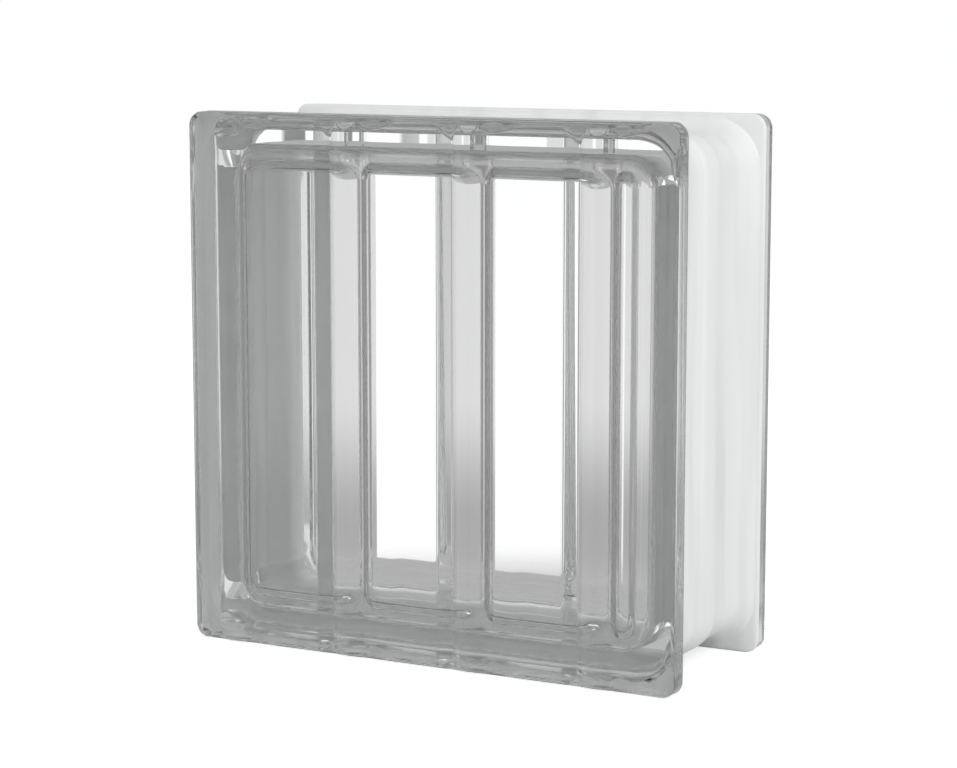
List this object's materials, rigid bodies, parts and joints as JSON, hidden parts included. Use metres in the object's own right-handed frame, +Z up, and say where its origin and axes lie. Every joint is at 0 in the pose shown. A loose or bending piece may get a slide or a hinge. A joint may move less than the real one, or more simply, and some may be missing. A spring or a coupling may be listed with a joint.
{
  "type": "glass block",
  "caption": "Square hollow glass block with columns in relief on both faces, flanged rims and recessed white-coated edges that take the mortar of a wall.",
  "frame": {"origin": "middle of the block's footprint, on the surface that its flange edges stand on", "axes": "+Z up along the columns, +X to the right seen from the front, front face towards -Y, depth along Y"},
  "size_m": [0.19, 0.082, 0.19],
  "materials": {
    "clear_glass": "clear pressed glass, fire-polished, faint green in the thick edges"
  },
  "bodies": {
    "root": {"glass_block": "clear_glass"}
  },
  "joints": []
}
